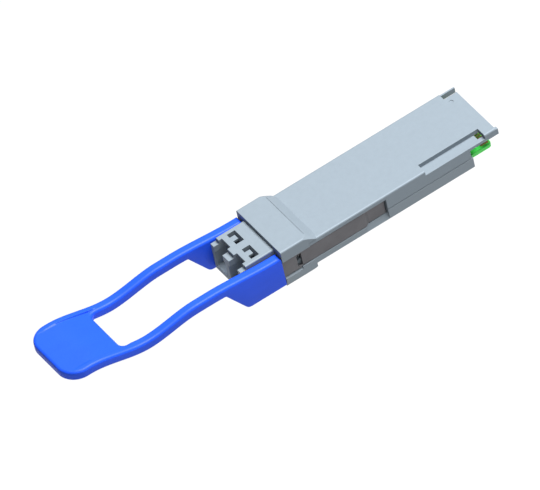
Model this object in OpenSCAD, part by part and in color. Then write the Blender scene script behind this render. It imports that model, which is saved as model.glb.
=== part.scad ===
// Pluggable optical transceiver module with a duplex LC port and a pull-tab latch.
//
// Frame: +X is the insertion direction, towards the host connector; +Z is up, towards the flat cover.
// The origin is at the middle of the module's length and width, at the height of its lowest face.
// Most lengths along the module are given as a distance ahead of the rear end, called a depth.

/* [Body] */
// Overall length with the pull tab
overall_len = 120.3; // [119.5:0.1:124]
// Width of the body
body_w = 18.35; // [18.3:0.05:18.4]
// Height of the body, cover to base
body_h = 8.5; // [8.45:0.05:8.6]
// Depth of the nose's front face, from the rear end
nose_depth = 60.5; // [60.4:0.1:60.8]
// Thickness of the cover plate
cover_t = 1.25; // [1.15:0.05:1.3]
// Thickness of the base plate
base_t = 1; // [0.9:0.05:1.05]
// Drop from the cover to the line where the two shells part
split_drop = 4.4; // [4.35:0.05:4.45]

/* [Nose] */
// Width of the nose
nose_w = 18.6; // [18.5:0.05:18.7]
// Rise of the nose's roof above the cover
nose_rise = 2.1; // [2:0.05:2.3]
// Drop of the nose's floor below the base
nose_drop = 0.8; // [0.75:0.05:1.1]
// Length of the flat part of the nose's roof
nose_roof_len = 7.7; // [7.4:0.1:8]
// Length of the ramp behind the nose's roof
ramp_len = 2.6; // [2.2:0.1:3]

/* [Optical port] */
// Distance between the two port axes
port_pitch = 6.25; // [6.2:0.05:6.3]
// Width and height of the square plug opening
port_w = 5; // [4.8:0.05:5.1]
// Reach of the port block beyond the nose
port_reach = 9.6; // [9.4:0.1:10]
// Diameter of a plug's ferrule
ferrule_d = 1.25; // [1.25:0.01:1.26]

/* [Latch] */
// Travel of the latch slider and pull tab
latch_travel = 2; // [1.5:0.1:2.2]
// Thickness of the slider's sheet steel
sheet_t = 0.5; // [0.4:0.05:0.5]
// Height of the slider's side arms
arm_h = 4.4; // [4.2:0.1:4.5]
// Depth of the slider's tips, from the rear end
tip_depth = 31.6; // [31.5:0.1:32]
// Wire diameter of a return spring
spring_wire = 0.18; // [0.16:0.02:0.22]

/* [Pull tab] */
// Width of each arm of the pull tab
tab_arm_w = 2.6; // [2.4:0.1:2.6]
// Thickness of the arms and the grip pad
tab_t = 2.8; // [2.6:0.1:2.9]
// Length of the grip pad
pad_len = 15.9; // [15:0.1:18]
// Corner radius of the grip pad
pad_r = 5; // [4:0.5:6]

/* [Circuit board] */
// Width of the board at its edge connector
board_w = 16.4; // [16.2:0.1:16.4]
// Thickness of the board
board_t = 1; // [0.95:0.05:1.05]
// Contacts in each row of the edge connector
contact_count = 19; // [17:2:19]
// Distance between neighbouring contacts
contact_pitch = 0.8; // [0.78:0.01:0.8]

/* [Hidden] */
$fn = 48;
OVERSHOOT = 1;
GAP = 0.1;

// Levels
nose_floor_z = 0;
base_z = nose_floor_z + nose_drop;
cover_z = base_z + body_h;
roof_z = cover_z + nose_rise;
split_z = cover_z - split_drop;
cavity_floor_z = base_z + base_t;
cavity_roof_z = cover_z - cover_t;
board_top_z = split_z - 0.2;
board_base_z = board_top_z - board_t;

// Lengths along the module
ear_len = 0.6;
rear_x = overall_len / 2 - ear_len;
tab_front_depth = overall_len - ear_len;
roof_end_depth = nose_depth - nose_roof_len;
ramp_end_depth = roof_end_depth - ramp_len;
nose_floor_end_depth = nose_depth - 6.2;
nose_floor_ramp_len = 2.4;
port_front_depth = nose_depth + port_reach;
port_back_depth = nose_depth - 3.5;
shell_edge_r = 0.45;
base_chamfer = 1;
roof_corner_r = 2.5;
nose_floor_r = 1;
upper_parting_edge = 0.1;
lower_parting_edge = 0.25;
roof_groove_margin = 0.15;
roof_groove_w = 0.5;
roof_groove_drop = 0.08;

// Side recesses that the slider's arms run in
recess_floor_y = body_w / 2 - 0.9;
recess_margin = 0.15;
recess_end_depth = tip_depth - 0.3;
arm_top_z = cover_z - 1.36;
arm_base_z = arm_top_z - arm_h;
arm_outer_y = body_w / 2 - GAP;
tip_len = 6;
tip_bend_len = 1.2;
tip_step = 0.65;
tip_slope_w = 0.7;
tip_pocket_y = recess_floor_y - 0.6;
tip_pocket_margin = 0.6;
nose_ledge_depth = nose_depth - 4.9;
nose_ledge_drop = 0.4;
nose_ledge_bevel = 0.45;
nose_arm_base_z = arm_base_z - 0.25;

// Inner cavity: wide behind the slider's tips, narrow between the recesses
wide_cavity_y = body_w / 2 - 0.85;
narrow_cavity_y = recess_floor_y - 1.3;
cavity_step_depth = tip_depth - 1.6;
clamp_cavity_y = 6;
clamp_cavity_depth = nose_depth - 6.1;
rear_rib_depth = 7.6;
rear_rib_t = 1;
base_end_depth = 7.2;
board_ledge_w = 0.65;

// Rear end of the cover
step_cut_w = 2.9;
step_floor_t = 0.7;
step_cut_drop = 1.2;
step_cut_end_depth = 20;
tongue_slot_front_depth = 4.5;
tongue_finger_w = 1.2;
tongue_t = 0.9;
corner_block_len = 3.1;
corner_block_drop = 2;
ear_t = 0.85;
near_ear_drop = 0.3;
corner_slot_len = 3.6;
corner_lip_t = 0.4;
corner_slot_y = body_w / 2 - corner_lip_t;
corner_slot_w = 1.85;
corner_slot_drop = 2;
corner_wall_drop = 0.5;
dimple_depth = 2.7;
dimple_y = 5.2;
dimple_r = 0.5;
dimple_drop = 0.15;

// Port block
port_block_half_w = 6.3;
port_neck_half_w = nose_w / 2 - 3.7;
port_block_base_z = cover_z - 7.9;
port_block_top_z = cover_z + 1.1;
port_floor_t = 1.2;
port_edge_r = 0.35;
neck_inset = 0.1;
neck_base_z = port_block_base_z + neck_inset;
neck_top_z = port_block_top_z - neck_inset;
port_axis_z = port_block_base_z + port_floor_t + port_w / 2;
port_flange_len = 1;
port_flange_h = 0.3;
port_step_len = 1.6;
port_step_drop = 1;
port_mouth_len = 2.5;
latch_space_w = 3.6;
latch_window_w = 4;
latch_window_len = 2.2;
latch_bar_len = 1.5;
latch_tongue_w = 1.5;
latch_tongue_len = 1.4;
port_roof_t = 0.6;

// Optical sub-assemblies
barrel_r = 1.45;
barrel_tip_depth = nose_depth + 4.1;
barrel_flange_r = 2.1;
barrel_flange_depth = port_back_depth + 0.4;
barrel_flange_t = 1.2;
barrel_tail_r = 1.75;
barrel_clearance = 0.05;
sleeve_r = 0.8;
sleeve_len = 6.4;
sleeve_slot_w = 0.2;
sleeve_bore_len = 4;
sleeve_recess = 0.3;
sleeve_lip = 0.1;
barrel_mouth_r = 0.95;
stub_clearance = 0.01;
stub_taper = 0.01;
optics_front_depth = nose_depth - 6.3;
optics_len = 9.2;
optics_w = 5.2;
optics_base_z = cavity_floor_z + 0.3;
optics_top_z = cavity_roof_z - 0.35;
optics_edge_r = 0.3;
optics_lid_t = 0.5;
optics_lid_inset = 0.3;
optics_pad_inset = 0.8;
clamp_t = 1;
clamp_margin = 0.1;
clamp_corner_r = 0.5;

// Return springs and the slider's spring tabs
spring_r = 0.75;
spring_y = 7.42;
spring_z = cover_z - 3.2;
spring_turns = 7;
spring_end_gap = 0.01;
spring_front_depth = nose_depth - 0.5;
spring_tab_depth = nose_depth - 5.6;
spring_len = spring_front_depth - spring_tab_depth - sheet_t;
spring_pocket_y = spring_y - spring_r - 0.07;
spring_pocket_h = 2;
spring_tab_h = 1.5;
spring_tab_y = spring_pocket_y + 0.15;
window_len = 1.3;
window_base_z = arm_base_z + 0.4;
window_top_z = arm_top_z - 0.35;

// Slider inside the pull tab's cheek plates
arm_front_depth = nose_depth + 12;
strap_rear_depth = nose_depth + 2;
strap_front_depth = nose_depth + 8.5;
strap_base_z = nose_floor_z + 0.4;
strap_bend_r = 0.9;

// Pull tab
cheek_rear_depth = nose_depth + 0.2;
cheek_base_z = nose_floor_z + 0.5;
cheek_base_depth = nose_depth + 10.8;
cheek_tip_depth = nose_depth + 15.7;
cheek_corner_r = 1.6;
pad_rear_depth = tab_front_depth - pad_len;
loop_corner_r = 1.5;
cheek_top_z = cover_z + 0.4;
shoulder_rise = 1.15;
dip_drop = 1.7;
grip_rise = 3.15;
shoulder_start = nose_depth + 1.5;
shoulder_end = nose_depth + 19.5;
dip_start = nose_depth + 23.5;
dip_end = nose_depth + 37;
grip_end = nose_depth + 53.5;
PROFILE_STEP = 1;

// Circuit board
board_rear_depth = 1.2;
board_front_depth = nose_depth - 17.5;
board_step_depth = cavity_step_depth - 0.6;
board_narrow_w = 2 * narrow_cavity_y - 0.3;
board_corner_r = 0.9;
contact_w = 0.54;
contact_len = 2.2;
contact_t = 0.04;
contact_inset = 0.35;

// Screws
front_screw_depth = 40.5;
front_screw_y = 6;
rear_screw_depth = 24;
rear_screw_y = 6.7;
screw_post_r = 1.5;
screw_notch_r = 1.8;
screw_r = 0.8;
screw_clearance = 0.05;
screw_head_r = 1.25;
screw_head_h = 0.8;
screw_thread_len = 2.2;
screw_socket_r = 0.45;
screw_socket_h = 0.45;

// Chips and their heat path
retimer_depth = 33;
retimer_w = 7;
retimer_h = 0.9;
pedestal_gap = 0.5;
chip_pad_inset = 0.3;
driver_w = 3;
driver_h = 0.7;
driver_depth = 39.5;
controller_w = 4;
controller_h = 0.8;
controller_depth = 18.5;
controller_y = -3.4;
inductor_size = [2.2, 1.8, 1.2];
inductor_count = 3;
inductor_stagger = 2.9;
inductor_pitch = 2.2;
inductor_depth = 20.2;
inductor_y = 0.2;
capacitor_size = [0.6, 1.1, 0.5];
capacitor_rows = 2;
capacitors_per_row = 8;
capacitor_pitch = 1.3;
capacitor_depth = 12.6;
capacitor_row_gap = 2.2;

// Conductive gasket round the port block's neck
gasket_depth = nose_depth - 1.6;
gasket_len = 0.8;
gasket_t = 0.45;

flex_t = 0.15;
flex_w = 3.6;
flex_foot_len = 1.6;
flex_foot_inset = 0.4;
flex_start_z = port_axis_z + 1.2;
flex_steps = 16;

// ---- Helpers ----

// Points of one rounded corner b between its neighbours a and c; a radius of 0 keeps it sharp.
function corner_points(a, b, c, r, steps) =
    let (
        u = (a - b) / norm(a - b),
        v = (c - b) / norm(c - b),
        half = acos(u * v) / 2,
        centre = b + (u + v) / norm(u + v) * r / sin(half),
        first = b + u * r / tan(half) - centre,
        last = b + v * r / tan(half) - centre
    )
    r == 0 ? [b] : [
        for (i = [0:steps])
            let (
                sweep = 180 - 2 * half,
                from_first = sin((1 - i / steps) * sweep),
                from_last = sin(i / steps * sweep)
            )
            centre + (first * from_first + last * from_last) / sin(sweep)
    ];

// Outline with each corner rounded by its own radius.
function rounded(points, radii, steps = 8) =
    let (n = len(points))
    [
        for (i = [0:n - 1])
            each corner_points(points[(i + n - 1) % n], points[i], points[(i + 1) % n], radii[i], steps)
    ];

// Outline of a box 2 * half wide between two heights, with its lower and upper corners rounded.
function box_outline(half, z0, z1, low_r, high_r) =
    rounded([[-half, z0], [half, z0], [half, z1], [-half, z1]], [low_r, low_r, high_r, high_r]);

// Smooth rise from 0 to 1 as s runs from a to b.
function ease(s, a, b) =
    let (u = min(1, max(0, (s - a) / (b - a))))
    u * u * (3 - 2 * u);

// Box between two depths, two widths and two heights.
module block(d0, d1, y0, y1, z0, z1) {
    translate([rear_x - d1, y0, z0]) cube([d1 - d0, y1 - y0, z1 - z0]);
}

// Outline of [y, z] points carried along the module between two depths.
module cross_section(points, d0, d1) {
    translate([rear_x - d1, 0, 0]) rotate([90, 0, 90]) linear_extrude(d1 - d0) polygon(points);
}

// Outline of [depth, z] points carried across the module between two widths.
module side_section(points, y0, y1) {
    translate([0, y1, 0]) rotate([90, 0, 0]) linear_extrude(y1 - y0)
        polygon([for (p = points) [rear_x - p[0], p[1]]]);
}

// Outline of [depth, y] points carried up between two heights.
module plan_section(points, z0, z1) {
    translate([0, 0, z0]) linear_extrude(z1 - z0) polygon([for (p = points) [rear_x - p[0], p[1]]]);
}

// Cylinder along the module between two depths.
module shaft(d0, d1, r, y, z) {
    translate([rear_x - d1, y, z]) rotate([0, 90, 0]) cylinder(h = d1 - d0, r = r);
}

// Round bar along X whose radius goes from r0 at depth d0 to r1 at depth d1.
module tapered_shaft(d0, d1, r0, r1, y, z) {
    translate([rear_x - d1, y, z]) rotate([0, 90, 0]) cylinder(h = d1 - d0, r1 = r1, r2 = r0);
}

// Upright cylinder between two heights.
module post(d, y, r, z0, z1) {
    translate([rear_x - d, y, z0]) cylinder(h = z1 - z0, r = r);
}

module both_sides() {
    children();
    mirror([0, 1, 0]) children();
}

module at_each_screw() {
    for (side = [-1, 1]) {
        translate([rear_x - front_screw_depth, side * front_screw_y, 0]) children();
        translate([rear_x - rear_screw_depth, side * rear_screw_y, 0]) children();
    }
}

// ---- Shells ----

module body_outline_upper() {
    cross_section(box_outline(body_w / 2, split_z, cover_z, upper_parting_edge, shell_edge_r), 0, nose_depth);
}

module body_outline_lower() {
    half = body_w / 2;
    cross_section(
        [
            [-half + base_chamfer, base_z], [half - base_chamfer, base_z], [half, base_z + base_chamfer],
            [half, split_z - lower_parting_edge], [half - lower_parting_edge, split_z],
            [-half + lower_parting_edge, split_z], [-half, split_z - lower_parting_edge],
            [-half, base_z + base_chamfer]
        ],
        base_end_depth, nose_depth
    );
}

// The nose's roof: a flat top, a ramp down to the cover and conical corners between them.
module nose_upper() {
    half = nose_w / 2;
    corner_depth = roof_end_depth + roof_corner_r;
    intersection() {
        cross_section(
            box_outline(half, split_z, roof_z, upper_parting_edge, shell_edge_r), ramp_end_depth, nose_depth
        );
        union() {
            block(corner_depth, nose_depth, -half, half, split_z, roof_z);
            side_section(
                [
                    [nose_depth, split_z], [nose_depth, roof_z], [roof_end_depth, roof_z],
                    [ramp_end_depth, cover_z], [ramp_end_depth, split_z]
                ],
                -half + roof_corner_r, half - roof_corner_r
            );
            for (side = [-1, 1])
                translate([rear_x - corner_depth, side * (half - roof_corner_r), cover_z])
                    cylinder(h = nose_rise, r1 = roof_corner_r + ramp_len, r2 = roof_corner_r);
            block(roof_end_depth, nose_depth, -half, half, split_z, cover_z);
        }
    }
}

module nose_lower() {
    half = nose_w / 2;
    rear_depth = nose_floor_end_depth - nose_floor_ramp_len;
    intersection() {
        cross_section(
            box_outline(half, nose_floor_z, split_z, nose_floor_r, lower_parting_edge), rear_depth, nose_depth
        );
        side_section(
            [
                [nose_depth, nose_floor_z], [nose_depth, split_z], [roof_end_depth, split_z],
                [rear_depth, base_z + base_chamfer], [rear_depth, base_z],
                [nose_floor_end_depth, nose_floor_z]
            ],
            -half, half
        );
    }
}

// Everything that is cut out of both shells for the slider: recesses, tip pockets and spring pockets.
module slider_room() {
    low = arm_base_z - recess_margin;
    high = arm_top_z + recess_margin;
    tip_pocket_end = tip_depth + tip_len + latch_travel + tip_pocket_margin;
    half = body_w / 2;
    both_sides() {
        // Slope below the tip, from the recess down to the body's side
        cross_section(
            [
                [half, base_z + base_chamfer], [half + OVERSHOOT, base_z + base_chamfer],
                [half + OVERSHOOT, low + GAP], [half - tip_slope_w, low + GAP]
            ],
            recess_end_depth, tip_depth + tip_len
        );
        block(recess_end_depth, nose_depth + OVERSHOOT, recess_floor_y, nose_w / 2 + OVERSHOOT, low, high);
        block(
            nose_ledge_depth, nose_depth + OVERSHOOT, recess_floor_y, nose_w / 2 + OVERSHOOT,
            low - nose_ledge_drop, high
        );
        // Bevel along the ledge's outer edge
        cross_section(
            [
                [nose_w / 2 - nose_ledge_bevel - GAP, low - nose_ledge_drop + GAP],
                [nose_w / 2 + GAP, low - nose_ledge_drop - nose_ledge_bevel - GAP],
                [nose_w / 2 + GAP, low - nose_ledge_drop + GAP]
            ],
            nose_ledge_depth, nose_depth + OVERSHOOT
        );
        block(recess_end_depth, tip_pocket_end, tip_pocket_y, recess_floor_y + OVERSHOOT, low, high);
        block(
            spring_tab_depth - GAP, spring_front_depth, spring_pocket_y, recess_floor_y + OVERSHOOT,
            spring_z - spring_pocket_h / 2, spring_z + spring_pocket_h / 2
        );
    }
}

// Room between the shells for the board, the optics, the clamp and the port block's neck.
module inner_room() {
    block(
        rear_rib_depth + rear_rib_t, cavity_step_depth, -wide_cavity_y, wide_cavity_y,
        cavity_floor_z, cavity_roof_z
    );
    block(
        cavity_step_depth - OVERSHOOT, clamp_cavity_depth, -narrow_cavity_y, narrow_cavity_y,
        cavity_floor_z, cavity_roof_z
    );
    block(
        clamp_cavity_depth - OVERSHOOT, port_back_depth - GAP, -clamp_cavity_y, clamp_cavity_y,
        cavity_floor_z, cavity_roof_z
    );
    port_neck_room(GAP);
}

module port_neck_room(margin) {
    half = port_neck_half_w + margin;
    low = neck_base_z - margin;
    high = neck_top_z + margin;
    gasket_half = port_neck_half_w + gasket_t;
    block(port_back_depth - margin, nose_depth + OVERSHOOT, -half, half, low, high);
    block(
        port_back_depth - margin, port_back_depth + port_flange_len + margin, -half, half,
        low - port_flange_h, high + port_flange_h
    );
    block(
        gasket_depth, gasket_depth + gasket_len, -gasket_half, gasket_half,
        neck_base_z - gasket_t, neck_top_z + gasket_t
    );
}

module rear_step_cut() {
    half = body_w / 2;
    // Long step along the near side of the cover
    block(
        corner_block_len, step_cut_end_depth, -half - OVERSHOOT, -half + step_cut_w,
        cover_z - step_cut_drop, cover_z + OVERSHOOT
    );
    // Slot between the step's tongue and the corner block, with a finger left along its outer edge
    block(
        corner_block_len, tongue_slot_front_depth, -half + tongue_finger_w, -half + step_cut_w,
        split_z - OVERSHOOT, cover_z + OVERSHOOT
    );
    // Open side below the tongue, the corner block and the far corner
    both_sides()
        block(
            -OVERSHOOT, rear_rib_depth, wide_cavity_y - OVERSHOOT, half + OVERSHOOT,
            split_z - OVERSHOOT, cover_z - corner_block_drop
        );
    block(
        corner_block_len - OVERSHOOT, rear_rib_depth, -half - OVERSHOOT, -half + step_cut_w,
        split_z - OVERSHOOT, cover_z - step_cut_drop - tongue_t
    );
}

// Short ears that stand out behind the cover's rear corners.
module rear_ears() {
    half = body_w / 2;
    low = cover_z - corner_block_drop;
    block(-ear_len, OVERSHOOT, -half, -half + ear_t, low, cover_z - near_ear_drop);
    block(-ear_len, OVERSHOOT, half - corner_lip_t, half, low, cover_z - corner_wall_drop);
}

module far_corner_slot() {
    half = body_w / 2;
    block(
        -OVERSHOOT, corner_slot_len, corner_slot_y - corner_slot_w, corner_slot_y,
        cover_z - corner_slot_drop - OVERSHOOT, cover_z + OVERSHOOT
    );
    block(
        -OVERSHOOT, corner_slot_len, corner_slot_y - OVERSHOOT, half + OVERSHOOT,
        cover_z - corner_wall_drop, cover_z + OVERSHOOT
    );
}

module top_shell() {
    color([0.74, 0.79, 0.83])
    difference() {
        union() {
            difference() {
                union() {
                    body_outline_upper();
                    nose_upper();
                }
                inner_room();
                // Open underside of the rear overhang
                block(
                    -OVERSHOOT, rear_rib_depth, -wide_cavity_y, wide_cavity_y,
                    split_z - OVERSHOOT, cavity_roof_z
                );
                slider_room();
            }
            // Heat pedestal over the retimer
            block(
                retimer_depth - retimer_w, retimer_depth, -retimer_w / 2, retimer_w / 2,
                board_top_z + retimer_h + pedestal_gap, cavity_roof_z + GAP
            );
            at_each_screw()
                translate([0, 0, split_z]) cylinder(h = cavity_roof_z - split_z + GAP, r = screw_post_r);
            // Floor below the step cut
            block(
                rear_rib_depth, step_cut_end_depth + step_floor_t, -wide_cavity_y - GAP,
                -body_w / 2 + step_cut_w + step_floor_t,
                cover_z - step_cut_drop - step_floor_t, cavity_roof_z + GAP
            );
            rear_ears();
        }
        // The rib over the board leaves it free
        block(
            rear_rib_depth - OVERSHOOT, rear_rib_depth + rear_rib_t + OVERSHOOT,
            -wide_cavity_y, wide_cavity_y, split_z - OVERSHOOT, split_z + GAP
        );
        rear_step_cut();
        far_corner_slot();
        post(dimple_depth, dimple_y, dimple_r, cover_z - dimple_drop, cover_z + OVERSHOOT);
        // Fine groove along the rear edge of the nose's roof
        block(
            roof_end_depth + roof_groove_margin, roof_end_depth + roof_groove_margin + roof_groove_w,
            -nose_w / 2, nose_w / 2, roof_z - roof_groove_drop, roof_z + OVERSHOOT
        );
        at_each_screw()
            translate([0, 0, split_z - OVERSHOOT]) cylinder(h = screw_thread_len + OVERSHOOT, r = screw_r);
    }
}

module bottom_shell() {
    color([0.66, 0.71, 0.75])
    difference() {
        union() {
            difference() {
                union() {
                    body_outline_lower();
                    nose_lower();
                }
                inner_room();
                slider_room();
            }
            // Ledges that the board rests on
            both_sides() {
                block(
                    base_end_depth, cavity_step_depth, wide_cavity_y - board_ledge_w, wide_cavity_y + GAP,
                    cavity_floor_z - GAP, board_base_z
                );
                block(
                    cavity_step_depth, board_front_depth,
                    narrow_cavity_y - board_ledge_w, narrow_cavity_y + GAP,
                    cavity_floor_z - GAP, board_base_z
                );
            }
            at_each_screw()
                translate([0, 0, base_z + GAP]) cylinder(h = split_z - base_z - GAP, r = screw_post_r);
        }
        // The rear wall leaves the board free
        block(
            base_end_depth - OVERSHOOT, rear_rib_depth + rear_rib_t + OVERSHOOT,
            -wide_cavity_y, wide_cavity_y, board_base_z, split_z + OVERSHOOT
        );
        at_each_screw() {
            cylinder(h = split_z + OVERSHOOT, r = screw_r + screw_clearance);
            translate([0, 0, base_z - OVERSHOOT])
                cylinder(h = screw_head_h + OVERSHOOT, r = screw_head_r + screw_clearance);
        }
    }
}

// ---- Optical port ----

module at_each_port() {
    for (side = [-1, 1]) translate([0, side * port_pitch / 2, 0]) children();
}

module port_opening() {
    half = port_w / 2;
    space_top_z = port_block_top_z - port_roof_t;
    mouth_depth = port_front_depth - port_mouth_len;
    window_rear_depth = mouth_depth - latch_bar_len - latch_window_len;
    space_half = latch_space_w / 2;
    // Plug opening and the latch space above it
    block(nose_depth, port_front_depth + OVERSHOOT, -half, half, port_axis_z - half, port_axis_z + half);
    block(window_rear_depth, port_front_depth + OVERSHOOT, -space_half, space_half, port_axis_z, space_top_z);
    // Mouth, open to the top
    block(
        mouth_depth, port_front_depth + OVERSHOOT, -space_half, space_half,
        port_axis_z, port_block_top_z + OVERSHOOT
    );
    // Window in the roof, with a tongue left standing in its front edge
    difference() {
        block(
            window_rear_depth, window_rear_depth + latch_window_len, -latch_window_w / 2, latch_window_w / 2,
            port_axis_z, port_block_top_z + OVERSHOOT
        );
        block(
            window_rear_depth + latch_window_len - latch_tongue_len, window_rear_depth + latch_window_len,
            -latch_tongue_w / 2, latch_tongue_w / 2, space_top_z, port_block_top_z + 2 * OVERSHOOT
        );
    }
}

module port_block() {
    half = port_block_half_w;
    color([0.72, 0.75, 0.77])
    difference() {
        union() {
            cross_section(
                box_outline(half, port_block_base_z, port_block_top_z, port_edge_r, port_edge_r),
                nose_depth + GAP, port_front_depth
            );
            block(
                port_back_depth, nose_depth + 2 * GAP, -port_neck_half_w, port_neck_half_w,
                neck_base_z, neck_top_z
            );
            block(
                port_back_depth, port_back_depth + port_flange_len, -port_neck_half_w, port_neck_half_w,
                neck_base_z - port_flange_h, neck_top_z + port_flange_h
            );
        }
        // Lower front edge
        block(
            port_front_depth - port_step_len, port_front_depth + OVERSHOOT,
            -half - OVERSHOOT, half + OVERSHOOT,
            port_block_top_z - port_step_drop, port_block_top_z + OVERSHOOT
        );
        at_each_port() {
            port_opening();
            // Seat of the barrel and its flange
            shaft(
                port_back_depth - OVERSHOOT, nose_depth + OVERSHOOT,
                barrel_r + barrel_clearance, 0, port_axis_z
            );
            shaft(
                port_back_depth - OVERSHOOT, barrel_flange_depth,
                barrel_flange_r + barrel_clearance, 0, port_axis_z
            );
        }
    }
}

// ---- Optical sub-assemblies ----

module barrel() {
    color([0.80, 0.78, 0.70])
    difference() {
        union() {
            shaft(barrel_flange_depth - OVERSHOOT / 2, barrel_tip_depth, barrel_r, 0, port_axis_z);
            shaft(
                barrel_flange_depth - barrel_flange_t, barrel_flange_depth, barrel_flange_r, 0, port_axis_z
            );
            shaft(
                optics_front_depth, barrel_flange_depth - barrel_flange_t + GAP, barrel_tail_r, 0, port_axis_z
            );
        }
        // Seat of the split sleeve, with a flared mouth whose narrow end keeps it in
        shaft(
            barrel_tip_depth - sleeve_recess - sleeve_len, barrel_tip_depth - sleeve_recess,
            sleeve_r, 0, port_axis_z
        );
        tapered_shaft(
            barrel_tip_depth - sleeve_recess - GAP, barrel_tip_depth + OVERSHOOT,
            sleeve_r - sleeve_lip, barrel_mouth_r, 0, port_axis_z
        );
    }
}

module sleeve() {
    front = barrel_tip_depth - sleeve_recess;
    rear = front - sleeve_len;
    stub_seat_r = ferrule_d / 2 + stub_clearance;
    color([0.93, 0.92, 0.86])
    difference() {
        shaft(rear, front, sleeve_r, 0, port_axis_z);
        shaft(front - sleeve_bore_len, front + OVERSHOOT, ferrule_d / 2, 0, port_axis_z);
        // Round the stub the sleeve opens slightly towards the rear
        tapered_shaft(
            rear - OVERSHOOT, front - sleeve_bore_len, stub_seat_r + stub_taper, stub_seat_r, 0, port_axis_z
        );
        block(
            rear - OVERSHOOT, front + OVERSHOOT, -sleeve_slot_w / 2, sleeve_slot_w / 2,
            port_axis_z, port_axis_z + sleeve_r + OVERSHOOT
        );
    }
}

module stub() {
    rear = barrel_tip_depth - sleeve_recess - sleeve_len;
    front = rear + sleeve_len - sleeve_bore_len;
    color([0.96, 0.95, 0.92])
    shaft(rear, front, ferrule_d / 2, 0, port_axis_z);
}

module optics_box() {
    half = optics_w / 2;
    rear = optics_front_depth - optics_len;
    lid_half = half - optics_lid_inset;
    lid_base_z = optics_top_z - optics_lid_t;
    color([0.83, 0.72, 0.42])
    union() {
        cross_section(
            box_outline(half, optics_base_z, lid_base_z, optics_edge_r, optics_edge_r),
            rear, optics_front_depth
        );
        // Seam-welded lid
        block(
            rear + optics_lid_inset, optics_front_depth - optics_lid_inset,
            -lid_half, lid_half, lid_base_z - GAP, optics_top_z
        );
    }
}

module barrel_clamp() {
    half = clamp_cavity_y - clamp_margin;
    front = barrel_flange_depth - barrel_flange_t;
    color([0.55, 0.57, 0.60])
    difference() {
        cross_section(
            box_outline(
                half, cavity_floor_z + clamp_margin, cavity_roof_z - clamp_margin,
                clamp_corner_r, clamp_corner_r
            ),
            front - clamp_t, front
        );
        at_each_port()
            shaft(
                front - clamp_t - OVERSHOOT, front + OVERSHOOT,
                barrel_tail_r + barrel_clearance, 0, port_axis_z
            );
    }
}

// Flexible circuit from the back of an optical box down to the board.
module flex_circuit() {
    start = optics_front_depth - optics_len;
    landing = board_front_depth - flex_foot_inset;
    foot = board_front_depth - flex_foot_len;
    line = [
        for (i = [0:flex_steps])
            let (d = start + (landing - start) * i / flex_steps)
            [d, flex_start_z + (board_top_z - flex_start_z) * ease(d, start, landing)]
    ];
    color([0.80, 0.55, 0.18])
    side_section(
        concat(
            [for (p = line) [p[0], p[1] + flex_t]],
            [[foot, board_top_z + flex_t], [foot, board_top_z]],
            [for (i = [flex_steps:-1:0]) line[i]]
        ),
        -flex_w / 2, flex_w / 2
    );
}

// ---- Latch ----

// Side arm with a tip that is set inwards.
module slider_arm() {
    inner_y = arm_outer_y - sheet_t;
    bend_end_depth = tip_depth + tip_len - tip_bend_len;
    plan_section(
        [
            [arm_front_depth, arm_outer_y], [tip_depth + tip_len, arm_outer_y],
            [bend_end_depth, arm_outer_y - tip_step], [tip_depth, arm_outer_y - tip_step],
            [tip_depth, inner_y - tip_step], [bend_end_depth, inner_y - tip_step],
            [tip_depth + tip_len, inner_y], [arm_front_depth, inner_y]
        ],
        arm_base_z, arm_top_z
    );
}

module latch_slider() {
    inner_y = arm_outer_y - sheet_t;
    window_rear_depth = spring_tab_depth + sheet_t;
    color([0.40, 0.41, 0.42])
    union() {
        both_sides() {
            difference() {
                slider_arm();
                block(
                    window_rear_depth, window_rear_depth + window_len,
                    inner_y - OVERSHOOT, arm_outer_y + OVERSHOOT,
                    window_base_z, window_top_z
                );
            }
            // Lower edge in the nose
            block(
                nose_ledge_depth + 2 * GAP, arm_front_depth, inner_y, arm_outer_y,
                nose_arm_base_z, arm_base_z + GAP
            );
            // Spring tab, bent inwards at the window's rear edge
            block(
                spring_tab_depth, spring_tab_depth + sheet_t, spring_tab_y, inner_y + GAP,
                spring_z - spring_tab_h / 2, spring_z + spring_tab_h / 2
            );
        }
        // Cross strap, bent up at both ends to meet the arms
        difference() {
            cross_section(
                box_outline(arm_outer_y, strap_base_z, nose_arm_base_z + GAP, strap_bend_r, 0),
                strap_rear_depth, strap_front_depth
            );
            cross_section(
                box_outline(
                    inner_y, strap_base_z + sheet_t, nose_arm_base_z + OVERSHOOT, strap_bend_r - sheet_t, 0
                ),
                strap_rear_depth - OVERSHOOT, strap_front_depth + OVERSHOOT
            );
        }
    }
}

// Height of the pull tab's upper face at a depth s.
function tab_top(s) =
    cheek_top_z
    + shoulder_rise * ease(s, shoulder_start, shoulder_end)
    - dip_drop * ease(s, dip_start, dip_end)
    + grip_rise * ease(s, dip_end, grip_end);

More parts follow.
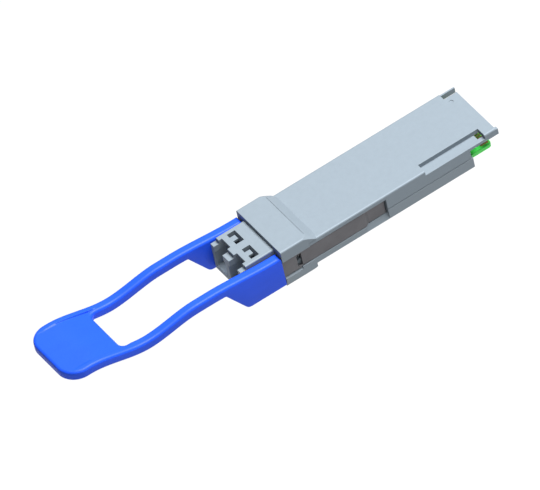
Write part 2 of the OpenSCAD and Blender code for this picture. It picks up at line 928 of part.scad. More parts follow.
module pull_tab() {
    half = nose_w / 2;
    stations = [for (s = [cheek_rear_depth:PROFILE_STEP:tab_front_depth]) s, tab_front_depth];
    color([0.20, 0.38, 0.95])
    difference() {
        intersection() {
            // Plan: two arms and the grip pad
            plan_section(
                rounded(
                    [
                        [cheek_rear_depth, -half], [tab_front_depth, -half],
                        [tab_front_depth, half], [cheek_rear_depth, half],
                        [cheek_rear_depth, half - tab_arm_w], [pad_rear_depth, half - tab_arm_w],
                        [pad_rear_depth, -half + tab_arm_w], [cheek_rear_depth, -half + tab_arm_w]
                    ],
                    [0, pad_r, pad_r, 0, 0, loop_corner_r, loop_corner_r, 0]
                ),
                nose_floor_z - OVERSHOOT, roof_z + 2 * OVERSHOOT
            );
            // Side view: S-bent arms with the cheek plates hanging from their rear ends
            union() {
                side_section(
                    concat(
                        [for (s = stations) [s, tab_top(s)]],
                        [for (i = [len(stations) - 1:-1:0]) [stations[i], tab_top(stations[i]) - tab_t]]
                    ),
                    -half, half
                );
                side_section(
                    rounded(
                        [
                            [cheek_rear_depth, cheek_base_z], [cheek_rear_depth, cheek_top_z - GAP],
                            [cheek_tip_depth, cheek_top_z - GAP],
                            [cheek_tip_depth, tab_top(cheek_tip_depth) - tab_t],
                            [cheek_base_depth, cheek_base_z]
                        ],
                        [0, 0, 0, 0, cheek_corner_r]
                    ),
                    -half, half
                );
            }
        }
        latch_slider();
    }
}

// Coil spring along the module: a wire swept round a helix.
module coil_spring() {
    sides = 6;
    per_turn = 14;
    steps = per_turn * spring_turns;
    coil_r = spring_r - spring_wire / 2;
    pitch_len = (spring_len - spring_wire - 2 * spring_end_gap) / steps;
    points = [
        for (i = [0:steps], j = [0:sides - 1])
            let (
                turn = 360 * i / per_turn,
                around = 360 * j / sides,
                r = coil_r + spring_wire / 2 * cos(around)
            )
            [i * pitch_len + spring_wire / 2 * sin(around), r * cos(turn), r * sin(turn)]
    ];
    side_faces = [
        for (i = [0:steps - 1], j = [0:sides - 1])
            let (a = i * sides + j, b = i * sides + (j + 1) % sides)
            [a, b, b + sides, a + sides]
    ];
    color([0.62, 0.63, 0.65])
    translate([rear_x - spring_front_depth + spring_wire / 2 + spring_end_gap, spring_y, spring_z])
        polyhedron(
            points,
            concat(
                side_faces,
                [[for (j = [sides - 1:-1:0]) j], [for (j = [0:sides - 1]) steps * sides + j]]
            )
        );
}

// ---- Circuit board ----

module circuit_board() {
    wide = board_w / 2;
    narrow = board_narrow_w / 2;
    color([0.10, 0.55, 0.20])
    difference() {
        plan_section(
            rounded(
                [
                    [board_rear_depth, -wide], [board_step_depth, -wide], [board_step_depth, -narrow],
                    [board_front_depth, -narrow], [board_front_depth, narrow],
                    [board_step_depth, narrow], [board_step_depth, wide], [board_rear_depth, wide]
                ],
                [board_corner_r, 0, 0, 0, 0, 0, 0, board_corner_r]
            ),
            board_base_z, board_top_z
        );
        at_each_screw()
            translate([0, 0, board_base_z - OVERSHOOT])
                cylinder(h = board_t + 2 * OVERSHOOT, r = screw_notch_r);
    }
}

module contact_row(z) {
    color([0.90, 0.72, 0.30])
    for (i = [0:contact_count - 1])
        let (y = (i - (contact_count - 1) / 2) * contact_pitch)
        block(
            board_rear_depth + contact_inset, board_rear_depth + contact_inset + contact_len,
            y - contact_w / 2, y + contact_w / 2, z, z + contact_t
        );
}

module upper_contacts() {
    contact_row(board_top_z);
}

module lower_contacts() {
    contact_row(board_base_z - contact_t);
}

module chip(depth, y, w, h) {
    block(depth - w, depth, y - w / 2, y + w / 2, board_top_z, board_top_z + h);
}

module retimer_chip() {
    color([0.16, 0.17, 0.18]) chip(retimer_depth, 0, retimer_w, retimer_h);
}

module driver_chip() {
    color([0.16, 0.17, 0.18]) chip(driver_depth, port_pitch / 2, driver_w, driver_h);
}

module controller_chip() {
    color([0.14, 0.14, 0.15]) chip(controller_depth, controller_y, controller_w, controller_h);
}

module power_inductors() {
    color([0.28, 0.28, 0.30])
    for (i = [0:inductor_count - 1])
        translate([
            rear_x - inductor_depth + (i % 2) * inductor_stagger,
            inductor_y + i * inductor_pitch,
            board_top_z
        ])
            cube(inductor_size);
}

module ceramic_capacitors() {
    color([0.62, 0.50, 0.36])
    for (row = [0:capacitor_rows - 1], i = [0:capacitors_per_row - 1])
        translate([
            rear_x - capacitor_depth + row * capacitor_row_gap,
            (i - (capacitors_per_row - 1) / 2) * capacitor_pitch - capacitor_size[1] / 2,
            board_top_z
        ])
            cube(capacitor_size);
}

module chip_thermal_pad() {
    half = retimer_w / 2 - chip_pad_inset;
    base = board_top_z + retimer_h;
    color([0.65, 0.60, 0.72])
    block(
        retimer_depth - retimer_w + chip_pad_inset, retimer_depth - chip_pad_inset,
        -half, half, base, base + pedestal_gap
    );
}

module optics_thermal_pads() {
    half = optics_w / 2 - optics_pad_inset;
    color([0.65, 0.60, 0.72])
    at_each_port()
        block(
            optics_front_depth - optics_len + optics_pad_inset, optics_front_depth - optics_pad_inset,
            -half, half, optics_top_z, cavity_roof_z
        );
}

module emi_gasket() {
    inner = port_neck_half_w;
    outer = inner + gasket_t;
    color([0.35, 0.36, 0.38])
    difference() {
        block(
            gasket_depth, gasket_depth + gasket_len, -outer, outer,
            neck_base_z - gasket_t, neck_top_z + gasket_t
        );
        block(
            gasket_depth - OVERSHOOT, gasket_depth + gasket_len + OVERSHOOT, -inner, inner,
            neck_base_z, neck_top_z
        );
    }
}

module shell_screws() {
    color([0.50, 0.51, 0.53])
    at_each_screw()
        difference() {
            union() {
                translate([0, 0, base_z]) cylinder(h = screw_head_h, r = screw_head_r);
                translate([0, 0, base_z + screw_head_h / 2])
                    cylinder(h = split_z + screw_thread_len - base_z - screw_head_h / 2 - GAP, r = screw_r);
            }
            // Six-sided drive socket
            translate([0, 0, base_z - OVERSHOOT])
                cylinder(h = screw_socket_h + OVERSHOOT, r = screw_socket_r, $fn = 6);
        }
}

// ---- Nodes ----

module on_transmitter_side() {
    translate([0, port_pitch / 2, 0]) children();
}

module on_receiver_side() {
    translate([0, -port_pitch / 2, 0]) children();
}

module left_spring() {
    coil_spring();
}

module right_spring() {
    mirror([0, 1, 0]) coil_spring();
}

top_shell();
bottom_shell();
port_block();
latch_slider();
pull_tab();
left_spring();
right_spring();
circuit_board();
upper_contacts();
lower_contacts();
on_transmitter_side() optics_box();  // transmitter_box
on_receiver_side() optics_box();  // receiver_box
on_transmitter_side() barrel();  // transmitter_barrel
on_receiver_side() barrel();  // receiver_barrel
on_transmitter_side() sleeve();  // transmitter_sleeve
on_receiver_side() sleeve();  // receiver_sleeve
on_transmitter_side() stub();  // transmitter_stub
on_receiver_side() stub();  // receiver_stub
barrel_clamp();
on_transmitter_side() flex_circuit();  // transmitter_flex
on_receiver_side() flex_circuit();  // receiver_flex
retimer_chip();
driver_chip();
controller_chip();
power_inductors();
ceramic_capacitors();
chip_thermal_pad();
optics_thermal_pads();
emi_gasket();
shell_screws();
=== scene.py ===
import math

import bmesh
import bpy
from mathutils import Matrix, Vector
from mathutils.bvhtree import BVHTree


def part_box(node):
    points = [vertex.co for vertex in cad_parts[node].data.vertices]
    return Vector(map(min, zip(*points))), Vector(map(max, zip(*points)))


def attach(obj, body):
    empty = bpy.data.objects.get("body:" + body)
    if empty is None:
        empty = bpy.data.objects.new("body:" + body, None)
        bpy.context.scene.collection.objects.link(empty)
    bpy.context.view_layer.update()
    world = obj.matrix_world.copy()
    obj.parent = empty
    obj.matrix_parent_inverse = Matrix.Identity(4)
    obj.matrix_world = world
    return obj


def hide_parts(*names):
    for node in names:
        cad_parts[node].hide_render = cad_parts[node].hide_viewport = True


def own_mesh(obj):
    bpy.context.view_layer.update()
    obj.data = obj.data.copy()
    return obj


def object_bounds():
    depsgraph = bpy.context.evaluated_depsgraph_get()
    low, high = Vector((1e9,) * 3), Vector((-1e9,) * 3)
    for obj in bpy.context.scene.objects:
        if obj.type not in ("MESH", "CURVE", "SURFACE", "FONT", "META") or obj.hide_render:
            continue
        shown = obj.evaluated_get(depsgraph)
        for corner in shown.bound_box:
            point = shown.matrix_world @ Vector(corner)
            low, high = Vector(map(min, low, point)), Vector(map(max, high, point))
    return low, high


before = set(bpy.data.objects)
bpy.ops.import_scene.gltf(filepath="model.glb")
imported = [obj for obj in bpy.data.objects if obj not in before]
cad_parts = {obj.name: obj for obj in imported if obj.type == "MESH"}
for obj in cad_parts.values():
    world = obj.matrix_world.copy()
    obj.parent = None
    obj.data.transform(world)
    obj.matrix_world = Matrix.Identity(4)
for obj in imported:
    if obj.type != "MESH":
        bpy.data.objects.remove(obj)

cad_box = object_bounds()

# The looks of a pluggable optical transceiver module. Lengths are in metres, in the CAD frame:
# +X is the insertion direction, +Z is up, and the pull tab points along -X.

MM = 0.001

# Camera, as angles in degrees round the object's middle and a width of view
CAMERA_AZIMUTH = -24.3
CAMERA_ELEVATION = 45.6
CAMERA_ROLL = -13.5
CAMERA_LENS = 1200
SENSOR_WIDTH = 36
VIEW_WIDTH = 124.6 * MM
AIM_OFFSET = Vector((1.2, 0, -0.8)) * MM
CLIP_RATIO = 10

# Lights: their diameter, their places from the object's middle and their powers in watts
LIGHT_SIZE = 0.9
OVERHEAD_PLACE = Vector((0.5, -0.05, 1.3))
OVERHEAD_POWER = 48
FILL_PLACE = Vector((-0.35, -1.1, 1.1))
FILL_POWER = 6.3
AMBIENT_STRENGTH = 0.12

# The object is held clear of the floor, so that the floor stays white round it as in the photo
FLOOR_DROP = 150 * MM
FLOOR_HALF = 4.0

# Pull tab, as in the CAD source
ARM_WIDTH = 2.6 * MM
PAD_LENGTH = 15.9 * MM
PAD_CORNER = 5 * MM
LOOP_CORNER = 1.5 * MM

# Rounded edges and a shallow recess in the grip pad, which the CAD tab doesn't have
TAB_EDGE = 0.75 * MM
RIM_WIDTH = 1.6 * MM
RIM_WALL = 0.12 * MM
RECESS_DEPTH = 0.45 * MM
RECESS_FADE = 2.5 * MM

# The two mesh lines at the recess's wall lie no further out than these shares of an arm's width
WALL_FOOT_SHARE = 0.7
WALL_TOP_SHARE = 0.8

# Fineness of the tab's mesh
ROW_STEP = 0.35 * MM
PAD_STEP = 0.3 * MM
INNER_CELLS = 8
OUTER_CELLS = 5
EDGE_STEPS = 6
LOOP_STEPS = 10
CORNER_STEPS = 40

# How far inside the CAD tab's ends and sides its heights are read
PROBE_END = 0.05 * MM
PROBE_SIDE = 0.1 * MM

# Steepest bend between two faces that is still shaded as one smooth surface
SMOOTH_ANGLE = math.radians(50)

# Return springs, with closed turns at both ends
WIRE_RADIUS = 0.09 * MM
SPRING_TURNS = 7
CLOSED_TURNS = 1
CLOSED_PITCH = 2.2 * WIRE_RADIUS
STEPS_PER_TURN = 28
WIRE_SIDES = 10

# Sharp edges are shaded as if rounded to this radius
EDGE_RADIUS = 0.12 * MM
EDGE_SAMPLES = 6

# Nearly all values of a noise lie between these two
NOISE_LOW = 0.3
NOISE_HIGH = 0.7

# Colours of the parts that the photo shows
NICKEL = (0.205, 0.247, 0.285)
NICKEL_LOWER = (0.215, 0.255, 0.29)
SLIDER_STEEL = (0.112, 0.111, 0.12)
BLUE = (0.012, 0.076, 0.70)
GREEN = (0.045, 0.72, 0.07)

# Colours of the other parts and of the studio
GOLD = (0.88, 0.62, 0.20)
CLAMP_STEEL = (0.35, 0.36, 0.38)
SPRING_STEEL = (0.45, 0.46, 0.48)
SCREW_STEEL = (0.30, 0.31, 0.33)
TURNED_STEEL = (0.68, 0.67, 0.64)
ZIRCONIA = (0.82, 0.80, 0.72)
POLYIMIDE = (0.55, 0.26, 0.04)
EPOXY = (0.02, 0.02, 0.022)
FERRITE = (0.06, 0.06, 0.065)
CAPACITOR = (0.35, 0.22, 0.12)
SILICONE = (0.34, 0.30, 0.42)
ELASTOMER = (0.10, 0.105, 0.115)
WHITE = (1, 1, 1)


# ---- Materials ----

def shade(colour, factor):
    return tuple(channel * factor for channel in colour)


class Shader:
    """A new Principled material and short ways to wire detail into it.

    The settings are values of its sockets, with _ for a space in a socket's name.
    """

    def __init__(self, name, **settings):
        self.material = bpy.data.materials.new(name)
        self.material.use_nodes = True
        self.nodes = self.material.node_tree.nodes
        self.links = self.material.node_tree.links
        self.surface = self.nodes["Principled BSDF"]
        for socket, value in settings.items():
            self.surface.inputs[socket.replace("_", " ")].default_value = value
        self.place = self.nodes.new("ShaderNodeTexCoord").outputs["Object"]

    def stretched(self, scale):
        """Object coordinates scaled differently along X, Y and Z."""
        mapping = self.nodes.new("ShaderNodeMapping")
        mapping.inputs["Scale"].default_value = scale
        self.links.new(self.place, mapping.inputs["Vector"])
        return mapping.outputs["Vector"]

    def noise(self, size, detail, roughness=0.55, vector=None):
        """Noise from 0 to 1 with grains about size metres wide."""
        node = self.nodes.new("ShaderNodeTexNoise")
        node.inputs["Scale"].default_value = 1 / size
        node.inputs["Detail"].default_value = detail
        node.inputs["Roughness"].default_value = roughness
        self.links.new(vector or self.place, node.inputs["Vector"])
        return node.outputs["Fac"]

    def cells(self, size, feature, vector=None):
        """Distance pattern of cells about size metres wide."""
        node = self.nodes.new("ShaderNodeTexVoronoi")
        node.feature = feature
        node.inputs["Scale"].default_value = 1 / size
        self.links.new(vector or self.place, node.inputs["Vector"])
        return node.outputs["Distance"]

    def ranged(self, value, low, high, out_low, out_high):
        """Value mapped from one range to another, held at the ends."""
        node = self.nodes.new("ShaderNodeMapRange")
        ends = {"From Min": low, "From Max": high, "To Min": out_low, "To Max": out_high}
        for socket, number in ends.items():
            node.inputs[socket].default_value = number
        self.links.new(value, node.inputs["Value"])
        return node.outputs["Result"]

    def scaled(self, value, factor):
        node = self.nodes.new("ShaderNodeMath")
        node.operation = "MULTIPLY"
        node.inputs[1].default_value = factor
        self.links.new(value, node.inputs[0])
        return node.outputs["Value"]

    def added(self, first, second):
        node = self.nodes.new("ShaderNodeMath")
        node.operation = "ADD"
        self.links.new(first, node.inputs[0])
        self.links.new(second, node.inputs[1])
        return node.outputs["Value"]

    def blended(self, first, second, share=0.5):
        """A share of the first value, and the rest of the second."""
        return self.added(self.scaled(first, share), self.scaled(second, 1 - share))

    def tint(self, value, colour, *stops):
        """Base colour from a 0 to 1 value. Each stop is (value, factor on the colour)."""
        node = self.nodes.new("ShaderNodeValToRGB")
        ramp = node.color_ramp
        while len(ramp.elements) < len(stops):
            ramp.elements.new(0.5)
        for element, (position, factor) in zip(ramp.elements, stops):
            element.position = position
            element.color = (*shade(colour, factor), 1)
        self.links.new(value, node.inputs["Fac"])
        self.links.new(node.outputs["Color"], self.surface.inputs["Base Color"])

    def roughness(self, noise, smoothest, roughest):
        """Roughness between two values, following a noise."""
        result = self.ranged(noise, NOISE_LOW, NOISE_HIGH, smoothest, roughest)
        self.links.new(result, self.surface.inputs["Roughness"])

    def bump(self, height, depth):
        """Relief of a 0 to 1 height, depth metres from lowest to highest, over softened edges."""
        edges = self.nodes.new("ShaderNodeBevel")
        edges.samples = EDGE_SAMPLES
        edges.inputs["Radius"].default_value = EDGE_RADIUS
        node = self.nodes.new("ShaderNodeBump")
        node.inputs["Distance"].default_value = depth
        self.links.new(edges.outputs["Normal"], node.inputs["Normal"])
        self.links.new(height, node.inputs["Height"])
        self.links.new(node.outputs["Normal"], self.surface.inputs["Normal"])


def die_cast(name, colour):
    """Satin nickel plate on a zinc casting: soft mottling and a fine cast grain."""
    shader = Shader(name, Metallic=0.15, Specular_IOR_Level=0.2)
    grain = shader.noise(0.14 * MM, detail=3)
    mottle = shader.noise(1.2 * MM, detail=6, roughness=0.7)
    blend = shader.blended(mottle, grain)
    shader.tint(blend, colour, (0.3, 0.94), (0.5, 1), (0.72, 1.05))
    shader.roughness(blend, 0.48, 0.62)
    shader.bump(grain, 0.006 * MM)
    return shader.material


def stamped_steel(name, colour):
    """Rolled sheet: fine lines along the length, with a few longer scratches."""
    shader = Shader(name, Metallic=0.6, Specular_IOR_Level=0.5)
    lines = shader.noise(0.09 * MM, detail=3, vector=shader.stretched((0.04, 1, 1)))
    scratches = shader.noise(0.35 * MM, detail=2, vector=shader.stretched((0.02, 1, 1)))
    stains = shader.noise(3.5 * MM, detail=4)
    shader.tint(shader.blended(lines, stains), colour, (0.32, 0.82), (0.5, 1), (0.68, 1.18))
    shader.roughness(lines, 0.34, 0.52)
    shader.bump(shader.added(lines, shader.scaled(scratches, 0.5)), 0.004 * MM)
    return shader.material


def turned_metal(name, colour, smoothest=0.25):
    """Lathe-turned metal: fine rings along the axis."""
    shader = Shader(name, Metallic=0.9)
    rings = shader.noise(0.06 * MM, detail=2, vector=shader.stretched((1, 0.05, 0.05)))
    shader.tint(rings, colour, (NOISE_LOW, 0.85), (NOISE_HIGH, 1))
    shader.roughness(rings, smoothest, smoothest + 0.15)
    shader.bump(rings, 0.003 * MM)
    return shader.material


def moulded_plastic(name, colour):
    """Semi-gloss moulded plastic with a light spark-eroded texture and faint flow marks."""
    shader = Shader(name, Specular_IOR_Level=0.2)
    texture = shader.cells(0.16 * MM, "SMOOTH_F1")
    flow = shader.noise(5 * MM, detail=3, vector=shader.stretched((0.35, 1, 1)))
    specks = shader.noise(0.3 * MM, detail=3)
    shader.tint(shader.blended(flow, specks, 0.6), colour, (0.3, 0.9), (0.5, 1), (0.7, 1.06))
    shader.roughness(specks, 0.38, 0.5)
    shader.bump(texture, 0.006 * MM)
    return shader.material


def solder_mask(name, colour):
    """Green mask with the copper traces under it showing as slightly raised, lighter lines."""
    shader = Shader(name, Specular_IOR_Level=0.5, Coat_Weight=0.3, Coat_Roughness=0.2)
    traces = shader.cells(1.1 * MM, "DISTANCE_TO_EDGE", vector=shader.stretched((0.35, 1.6, 1)))
    copper = shader.ranged(traces, 0.08, 0.12, 1, 0)
    weave = shader.noise(0.25 * MM, detail=3)
    blend = shader.blended(copper, weave)
    shader.tint(blend, colour, (0.15, 0.88), (0.35, 1), (0.75, 1.12))
    shader.roughness(weave, 0.4, 0.52)
    shader.bump(blend, 0.004 * MM)
    return shader.material


def gold_plate(name, colour):
    """Electroplated gold, wiped fine by mating."""
    shader = Shader(name, Metallic=1.0)
    wipe = shader.noise(0.05 * MM, detail=3, vector=shader.stretched((0.08, 1, 1)))
    shader.tint(wipe, colour, (NOISE_LOW, 0.85), (NOISE_HIGH, 1))
    shader.roughness(wipe, 0.2, 0.36)
    shader.bump(wipe, 0.002 * MM)
    return shader.material


def grained(name, colour, grain, depth, roughness):
    """A solid with a fine grain, for films, ceramics, chips, pads and rubbers."""
    shader = Shader(name)
    fine = shader.noise(grain, detail=4)
    broad = shader.noise(12 * grain, detail=3)
    shader.tint(shader.blended(fine, broad), colour, (0.32, 0.82), (0.5, 1), (0.68, 1.15))
    shader.roughness(fine, roughness - 0.08, roughness + 0.08)
    shader.bump(fine, depth)
    return shader.material


def floor_paper(name):
    """Matt pale studio paper."""
    shader = Shader(name, Roughness=0.9, Specular_IOR_Level=0.1)
    fibre = shader.noise(0.8 * MM, detail=4)
    shader.tint(fibre, WHITE, (NOISE_LOW, 0.51), (NOISE_HIGH, 0.53))
    return shader.material


def dress(material, *nodes):
    """Gives CAD parts their material."""
    for node in nodes:
        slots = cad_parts[node].data.materials
        slots.clear()
        slots.append(material)


# ---- Meshes ----

def new_piece(name, vertices, faces, material):
    mesh = bpy.data.meshes.new(name)
    mesh.from_pydata(vertices, [], faces)
    mesh.validate()
    work = bmesh.new()
    work.from_mesh(mesh)
    bmesh.ops.recalc_face_normals(work, faces=work.faces)
    work.to_mesh(mesh)
    work.free()
    mesh.shade_smooth()
    mesh.set_sharp_from_angle(angle=SMOOTH_ANGLE)
    mesh.materials.append(material)
    piece = bpy.data.objects.new(name, mesh)
    bpy.context.scene.collection.objects.link(piece)
    return piece


def bridge(first, second):
    """Quads between two closed rings of vertices."""
    count = len(first)
    return [(first[i], first[(i + 1) % count], second[(i + 1) % count], second[i]) for i in range(count)]


def spread(start, end, steps):
    """Evenly spaced values from start up to end, without end."""
    return [start + (end - start) * i / steps for i in range(steps)]


# ---- Pull tab ----

class TabShape:
    """The pull tab in plan and in side view. Places along it are distances ahead of its rear end."""

    def __init__(self):
        self.low, self.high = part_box("pull_tab")
        self.length = self.high.x - self.low.x
        self.half = (self.high.y - self.low.y) / 2
        self.inner = self.half - ARM_WIDTH
        self.inner_end = self.inner - LOOP_CORNER
        self.pad_rear = self.length - PAD_LENGTH
        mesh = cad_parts["pull_tab"].data
        self.tree = BVHTree.FromPolygons(
            [v.co for v in mesh.vertices], [p.vertices for p in mesh.polygons]
        )
        count = int(self.length / ROW_STEP) + 1
        self.samples = [self.heights_of_cad(i * ROW_STEP) for i in range(count)]

    def heights_of_cad(self, along):
        """Lower and upper face of the CAD tab at a distance ahead of its rear end."""
        along = min(max(along, PROBE_END), self.length - PROBE_END)
        side = 0 if along > self.pad_rear else self.half - PROBE_SIDE
        above = Vector((self.high.x - along, side, self.high.z + MM))
        below = Vector((self.high.x - along, side, self.low.z - MM))
        top = self.tree.ray_cast(above, Vector((0, 0, -1)))[0]
        base = self.tree.ray_cast(below, Vector((0, 0, 1)))[0]
        return base.z, top.z

    def heights(self, along):
        """Lower and upper face between the samples."""
        place = max(along / ROW_STEP, 0)
        index = min(int(place), len(self.samples) - 2)
        share = min(place - index, 1)
        before, after = self.samples[index], self.samples[index + 1]
        return [a + (b - a) * share for a, b in zip(before, after)]

    def across_arm(self, inner, outer):
        """Places across one arm from its inner to its outer side, two of them at the recess's wall."""
        foot = min(self.half - RIM_WIDTH - RIM_WALL, inner + WALL_FOOT_SHARE * (outer - inner))
        top = min(self.half - RIM_WIDTH, inner + WALL_TOP_SHARE * (outer - inner))
        return [*spread(inner, foot, INNER_CELLS), foot, *spread(top, outer, OUTER_CELLS), outer]

    def relief(self, along, across):
        """Height of the grip's recess above the plain upper face. It fades out at both ends."""
        front = (self.length - RIM_WIDTH - along) / (PAD_LENGTH - RIM_WIDTH)
        rear = (along - self.pad_rear) / RECESS_FADE + 1
        depth = RECESS_DEPTH * min(front, rear, 1)
        side = self.half - RIM_WIDTH - abs(across)
        if depth <= 0 or side <= 0:
            return 0
        share = min(side / RIM_WALL, 1)
        return -depth * share * share * (3 - 2 * share)

    def point(self, along, across, upper, drop):
        """A point drop metres inside the upper or the lower face."""
        base, top = self.heights(along)
        z = top - drop + self.relief(along, across) if upper else base + drop
        return (self.high.x - along, across, z)


def tab_rows(shape):
    """Rows across the tab, inset from its outline by the edge radius.

    Each row is (distance along, half width inside, half width outside, is on the pad).
    """
    loop_start = shape.pad_rear - LOOP_CORNER
    fillet = LOOP_CORNER + TAB_EDGE
    pad_start = loop_start + fillet
    corner_start = shape.length - PAD_CORNER
    corner = PAD_CORNER - TAB_EDGE
    outer = shape.half - TAB_EDGE
    rows = []
    for along in spread(TAB_EDGE, loop_start, round((loop_start - TAB_EDGE) / ROW_STEP)):
        rows.append((along, shape.inner + TAB_EDGE, outer, False))
    for angle in spread(0, math.pi / 2, LOOP_STEPS):
        inner = shape.inner_end + fillet * math.cos(angle)
        rows.append((loop_start + fillet * math.sin(angle), inner, outer, False))
    for along in spread(pad_start, corner_start, round((corner_start - pad_start) / PAD_STEP)):
        rows.append((along, shape.inner_end, outer, True))
    for angle in [*spread(0, math.pi / 2, CORNER_STEPS), math.pi / 2]:
        width = shape.half - PAD_CORNER + corner * math.cos(angle)
        inner = shape.inner_end * width / outer
        rows.append((corner_start + corner * math.sin(angle), inner, width, True))
    return rows


class TabGrid:
    """The tab's plan as a grid of points, each (distance along, distance across).

    A row holds the numbers of the points of its left arm, of the pad's middle, if it has one there,
    and of its right arm, all from -Y to +Y.
    """

    def __init__(self, shape):
        self.points = []
        self.rows = [self.new_row(shape, *row) for row in tab_rows(shape)]

    def add(self, along, across):
        self.points.append((along, across))
        return len(self.points) - 1

    def new_row(self, shape, along, inner, outer, on_pad):
        places = shape.across_arm(inner, outer)
        left = [self.add(along, -across) for across in reversed(places)]
        right = [self.add(along, across) for across in places]
        middle = []
        if on_pad:
            steps = 2 * round(shape.inner_end / PAD_STEP)
            middle = [self.add(along, across) for across in spread(-inner, inner, steps)[1:]]
        return left, middle, right

    def cells(self):
        """Quads between the rows."""
        quads = []
        for (left_a, middle_a, right_a), (left_b, middle_b, right_b) in zip(self.rows, self.rows[1:]):
            strips = [(left_a, left_b), (right_a, right_b)]
            if middle_a:
                strips.append((
                    [left_a[-1], *middle_a, right_a[0]],
                    [left_b[-1], *middle_b, right_b[0]],
                ))
            for a, b in strips:
                quads += [(a[j], a[j + 1], b[j + 1], b[j]) for j in range(len(a) - 1)]
        return quads

    def outline(self):
        """Point numbers once round the plan, starting at the rear end of the left arm's outer side."""
        first_pad = next(i for i, (_, middle, _) in enumerate(self.rows) if middle)
        rear_left, _, rear_right = self.rows[0]
        _, loop_middle, _ = self.rows[first_pad]
        front_left, front_middle, front_right = self.rows[-1]
        outline = [left[0] for left, _, _ in self.rows]
        outline += [*front_left[1:], *front_middle, *front_right]
        outline += [right[-1] for _, _, right in reversed(self.rows[:-1])]
        outline += reversed(rear_right[:-1])
        outline += [right[0] for _, _, right in self.rows[1:first_pad + 1]]
        outline += reversed(loop_middle)
        outline += [left[-1] for left, _, _ in reversed(self.rows[:first_pad + 1])]
        outline += reversed(rear_left[1:-1])
        return outline


def outward(corners):
    """For each corner of a closed outline, how far it moves for each metre that the sides move out."""
    offsets = []
    for before, here, after in zip([corners[-1], *corners], corners, [*corners[1:], corners[0]]):
        edges = (here - before, after - here)
        first, second = [Vector((edge.y, -edge.x)).normalized() for edge in edges]
        offsets.append((first + second) / (1 + first.dot(second)))
    return offsets


def pull_tab(material):
    """Two arms with cheek plates and a grip pad, all edges rounded."""
    shape = TabShape()
    grid = TabGrid(shape)
    cells = grid.cells()
    outline = grid.outline()
    corners = [Vector(grid.points[i]) for i in outline]
    offsets = outward(corners)
    vertices, faces, rims = [], [], []
    for upper in (True, False):
        start = len(vertices)
        vertices += [shape.point(along, across, upper, 0) for along, across in grid.points]
        faces += [[start + i for i in cell] for cell in cells]
        ring = [start + i for i in outline]
        for step in range(1, EDGE_STEPS + 1):
            angle = math.pi / 2 * step / EDGE_STEPS
            reach = TAB_EDGE * math.sin(angle)
            drop = TAB_EDGE * (1 - math.cos(angle))
            inside = ring
            first = len(vertices)
            for corner, offset in zip(corners, offsets):
                along, across = corner + offset * reach
                vertices.append(shape.point(along, across, upper, drop))
            ring = list(range(first, len(vertices)))
            faces += bridge(inside, ring)
        rims.append(ring)
    faces += bridge(*rims)
    return new_piece("pull_tab_moulding", vertices, faces, material)


# ---- Return springs ----

def coil(name, node, material):
    """A compression spring along X with closed ends, in the space of a CAD spring."""
    low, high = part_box(node)
    middle = (low + high) / 2
    radius = (high.z - low.z) / 2 - WIRE_RADIUS
    length = high.x - low.x - 2 * WIRE_RADIUS
    steps = SPRING_TURNS * STEPS_PER_TURN
    closed = CLOSED_TURNS * STEPS_PER_TURN
    closed_step = CLOSED_PITCH / STEPS_PER_TURN
    open_step = (length - 2 * closed * closed_step) / (steps - 2 * closed)
    vertices, faces = [], []
    x = low.x + WIRE_RADIUS
    for i in range(steps + 1):
        turn = 2 * math.pi * i / STEPS_PER_TURN
        out = Vector((0, math.cos(turn), math.sin(turn)))
        for around in spread(0, 2 * math.pi, WIRE_SIDES):
            on_axis = Vector((x + WIRE_RADIUS * math.sin(around), middle.y, middle.z))
            vertices.append(on_axis + out * (radius + WIRE_RADIUS * math.cos(around)))
        x += closed_step if i < closed or i >= steps - closed else open_step
    for i in range(steps):
        ring = range(i * WIRE_SIDES, (i + 1) * WIRE_SIDES)
        faces += bridge(ring, [k + WIRE_SIDES for k in ring])
    faces.append(list(range(WIRE_SIDES)))
    faces.append(list(range(steps * WIRE_SIDES, (steps + 1) * WIRE_SIDES)))
    return new_piece(name, vertices, faces, material)


# ---- Camera, lights and floor ----

def place_camera(target):
    azimuth = math.radians(CAMERA_AZIMUTH)
    elevation = math.radians(CAMERA_ELEVATION)
    back = Vector((
        math.sin(azimuth) * math.cos(elevation),
        -math.cos(azimuth) * math.cos(elevation),
        math.sin(elevation),
    ))
    distance = VIEW_WIDTH * CAMERA_LENS / SENSOR_WIDTH
    data = bpy.data.cameras.new("camera")
    data.lens = CAMERA_LENS
    data.sensor_width = SENSOR_WIDTH
    data.clip_start = distance / CLIP_RATIO
    data.clip_end = distance * CLIP_RATIO
    camera = bpy.data.objects.new("camera", data)
    camera.location = target + back * distance
    level = (-back).to_track_quat("-Z", "Y").to_matrix().to_4x4()
    rolled = level @ Matrix.Rotation(math.radians(CAMERA_ROLL), 4, "Z")
    camera.rotation_euler = rolled.to_euler()
    bpy.context.scene.collection.objects.link(camera)
    bpy.context.scene.camera = camera


def soft_box(name, place, target, power):
    data = bpy.data.lights.new(name, "AREA")
    data.shape = "DISK"
    data.size = LIGHT_SIZE
    data.energy = power
    light = bpy.data.objects.new(name, data)
    light.location = place
    light.rotation_euler = (target - place).to_track_quat("-Z", "Y").to_euler()
    bpy.context.scene.collection.objects.link(light)


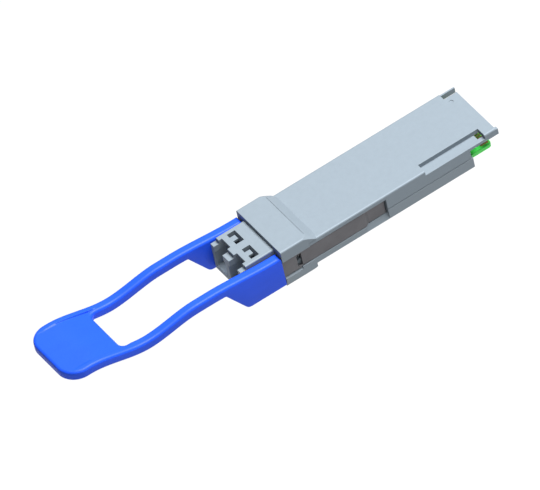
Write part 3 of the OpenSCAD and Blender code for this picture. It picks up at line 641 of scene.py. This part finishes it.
def studio(middle, floor_z):
    """Pale floor, a broad light overhead, a weak one from the front and a little from all round."""
    signs = ((-1, -1), (1, -1), (1, 1), (-1, 1))
    corners = [(x * FLOOR_HALF, y * FLOOR_HALF, floor_z) for x, y in signs]
    floor = new_piece("floor", corners, [(0, 1, 2, 3)], floor_paper("floor_paper"))
    soft_box("overhead", middle + OVERHEAD_PLACE, middle, OVERHEAD_POWER)
    soft_box("front_fill", middle + FILL_PLACE, middle, FILL_POWER)
    world = bpy.data.worlds.new("world")
    world.use_nodes = True
    background = world.node_tree.nodes["Background"]
    background.inputs["Color"].default_value = (*WHITE, 1)
    background.inputs["Strength"].default_value = AMBIENT_STRENGTH
    bpy.context.scene.world = world
    bpy.context.scene.view_settings.view_transform = "Standard"


# ---- Materials of the CAD parts ----

dress(die_cast("plated_casting_upper", NICKEL), "top_shell")
dress(die_cast("plated_casting_lower", NICKEL_LOWER), "bottom_shell")
dress(die_cast("plated_port", NICKEL), "port_block")
dress(stamped_steel("slider_sheet", SLIDER_STEEL), "latch_slider")
dress(stamped_steel("clamp_sheet", CLAMP_STEEL), "barrel_clamp")
dress(solder_mask("green_solder_mask", GREEN), "circuit_board")
dress(gold_plate("gold_contacts", GOLD), "upper_contacts", "lower_contacts")
dress(gold_plate("gold_package", shade(GOLD, 0.9)), "transmitter_box", "receiver_box")
dress(turned_metal("turned_barrel", TURNED_STEEL), "transmitter_barrel", "receiver_barrel")
dress(turned_metal("screw_metal", SCREW_STEEL, smoothest=0.35), "shell_screws")
dress(
    grained("zirconia", ZIRCONIA, grain=0.03 * MM, depth=0.001 * MM, roughness=0.2),
    "transmitter_sleeve", "receiver_sleeve", "transmitter_stub", "receiver_stub",
)
dress(
    grained("polyimide_film", POLYIMIDE, grain=0.15 * MM, depth=0.003 * MM, roughness=0.35),
    "transmitter_flex", "receiver_flex",
)
dress(
    grained("chip_epoxy", EPOXY, grain=0.05 * MM, depth=0.003 * MM, roughness=0.6),
    "retimer_chip", "driver_chip", "controller_chip",
)
dress(
    grained("ferrite", FERRITE, grain=0.08 * MM, depth=0.006 * MM, roughness=0.75),
    "power_inductors",
)
dress(
    grained("capacitor_ceramic", CAPACITOR, grain=0.08 * MM, depth=0.003 * MM, roughness=0.5),
    "ceramic_capacitors",
)
dress(
    grained("silicone_pad", SILICONE, grain=0.2 * MM, depth=0.01 * MM, roughness=0.85),
    "chip_thermal_pad", "optics_thermal_pads",
)
dress(
    grained("gasket_elastomer", ELASTOMER, grain=0.1 * MM, depth=0.01 * MM, roughness=0.8),
    "emi_gasket",
)

# ---- Pieces in place of CAD parts ----

tab = pull_tab(moulded_plastic("blue_moulding", BLUE))
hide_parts("pull_tab")
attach(tab, "release_latch")

spring_wire = turned_metal("spring_wire", SPRING_STEEL)
for side in ("left", "right"):
    node = f"{side}_spring"
    spring = coil(f"{side}_return_coil", node, spring_wire)
    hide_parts(node)
    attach(spring, "module_body")
    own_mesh(spring)

# ---- Scene ----

middle = (cad_box[0] + cad_box[1]) / 2
place_camera(middle + AIM_OFFSET)
studio(middle, cad_box[0].z - FLOOR_DROP)
